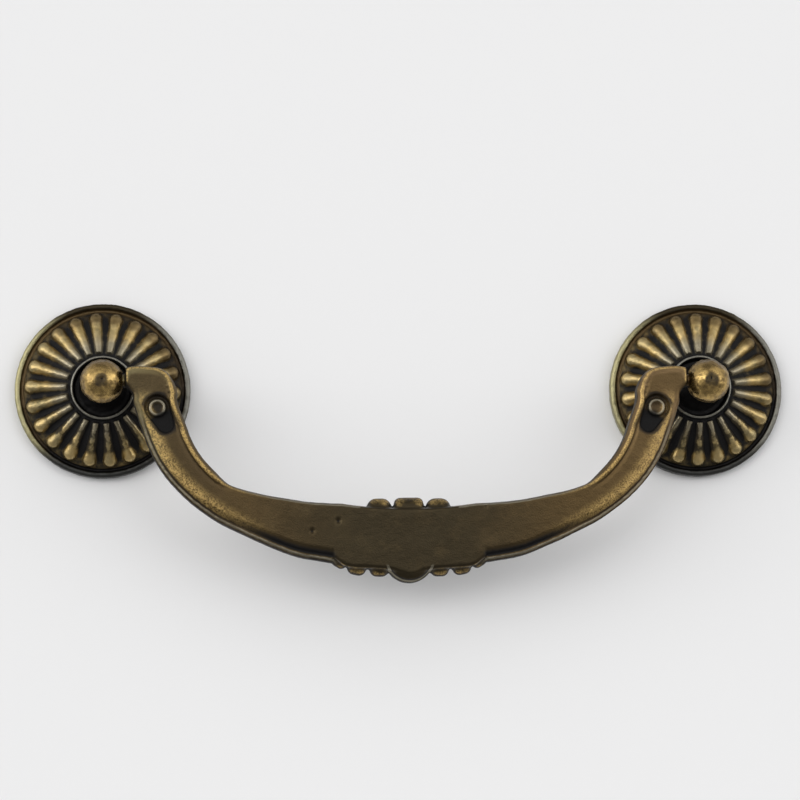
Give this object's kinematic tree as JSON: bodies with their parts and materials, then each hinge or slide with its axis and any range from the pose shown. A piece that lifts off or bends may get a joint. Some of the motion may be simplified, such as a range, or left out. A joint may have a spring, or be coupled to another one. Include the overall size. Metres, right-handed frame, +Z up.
{
  "type": "bail pull",
  "caption": "Antique brass drawer bail pull: a curved, swinging cast handle with a lobed middle hangs from ball posts on two round fluted rosettes.",
  "frame": {"origin": "midway between the two mounting holes, on the plane of the drawer front that the rosettes' backs rest on", "axes": "+X along the line of the two holes, +Z up, so the bail hangs towards -Z, and the front faces -Y"},
  "size_m": [0.124, 0.0169, 0.0459],
  "materials": {
    "antique_brass": "antique patina, dark in the recesses and rubbed bright on the high parts"
  },
  "bodies": {
    "mounting": {"rosette_left": "antique_brass", "rosette_right": "antique_brass", "post_left": "antique_brass", "post_right": "antique_brass"},
    "bail": {"bail": "antique_brass"}
  },
  "joints": [
    {"name": "bail_swing", "type": "hinge", "parent": "mounting", "child": "bail", "pos_m": [0, -0.0135, 0], "axis": [-1, 0, 0], "range_deg": [-18, 198]}
  ]
}
